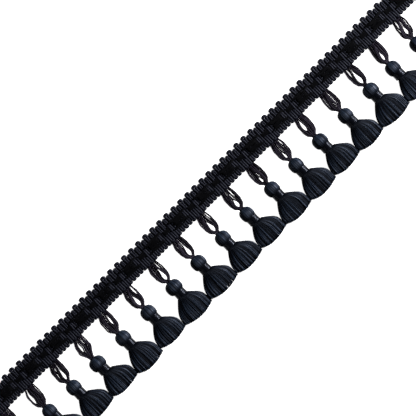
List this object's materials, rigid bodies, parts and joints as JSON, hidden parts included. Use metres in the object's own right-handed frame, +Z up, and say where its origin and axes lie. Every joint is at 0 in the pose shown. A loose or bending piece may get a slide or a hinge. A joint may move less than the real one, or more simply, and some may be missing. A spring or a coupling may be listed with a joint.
{
  "type": "tassel fringe trim",
  "caption": "Cut length of picot-edged gimp braid with a row of tied floss tassels on leaf-shaped cord hangers, lying on its back.",
  "frame": {"origin": "middle of the braid's back, on the surface it lies on", "axes": "+X along the braid, +Y towards the picot edge, -Y down the tassels, +Z up from the surface, out of the braid's front"},
  "size_m": [0.3448, 0.0538, 0.0072],
  "materials": {
    "gimp_cord": "wrapped gimp cord, near-black blue, soft sheen on the wraps",
    "matt_floss": "matt untwisted floss, black",
    "two_ply_cord": "two-ply twisted rayon cord, warm near-black",
    "satin_floss": "satin rayon floss, dark navy, with highlights along the threads",
    "binding_thread": "satin thread wound tight, dark navy"
  },
  "bodies": {
    "root": {"heading_braid": "gimp_cord", "centre_floss": "matt_floss", "hanger_01": "two_ply_cord", "hanger_02": "two_ply_cord", "hanger_03": "two_ply_cord", "hanger_04": "two_ply_cord", "hanger_05": "two_ply_cord", "hanger_06": "two_ply_cord", "hanger_07": "two_ply_cord", "hanger_08": "two_ply_cord", "hanger_09": "two_ply_cord", "hanger_10": "two_ply_cord", "hanger_11": "two_ply_cord", "hanger_12": "two_ply_cord", "hanger_13": "two_ply_cord", "hanger_14": "two_ply_cord", "hanger_15": "two_ply_cord", "hanger_16": "two_ply_cord", "hanger_17": "two_ply_cord", "hanger_18": "two_ply_cord", "tassel_01": "satin_floss", "tassel_02": "satin_floss", "tassel_03": "satin_floss", "tassel_04": "satin_floss", "tassel_05": "satin_floss", "tassel_06": "satin_floss", "tassel_07": "satin_floss", "tassel_08": "satin_floss", "tassel_09": "satin_floss", "tassel_10": "satin_floss", "tassel_11": "satin_floss", "tassel_12": "satin_floss", "tassel_13": "satin_floss", "tassel_14": "satin_floss", "tassel_15": "satin_floss", "tassel_16": "satin_floss", "tassel_17": "satin_floss", "tassel_18": "satin_floss", "neck_wrap_01": "binding_thread", "neck_wrap_02": "binding_thread", "neck_wrap_03": "binding_thread", "neck_wrap_04": "binding_thread", "neck_wrap_05": "binding_thread", "neck_wrap_06": "binding_thread", "neck_wrap_07": "binding_thread", "neck_wrap_08": "binding_thread", "neck_wrap_09": "binding_thread", "neck_wrap_10": "binding_thread", "neck_wrap_11": "binding_thread", "neck_wrap_12": "binding_thread", "neck_wrap_13": "binding_thread", "neck_wrap_14": "binding_thread", "neck_wrap_15": "binding_thread", "neck_wrap_16": "binding_thread", "neck_wrap_17": "binding_thread", "neck_wrap_18": "binding_thread"}
  },
  "joints": []
}
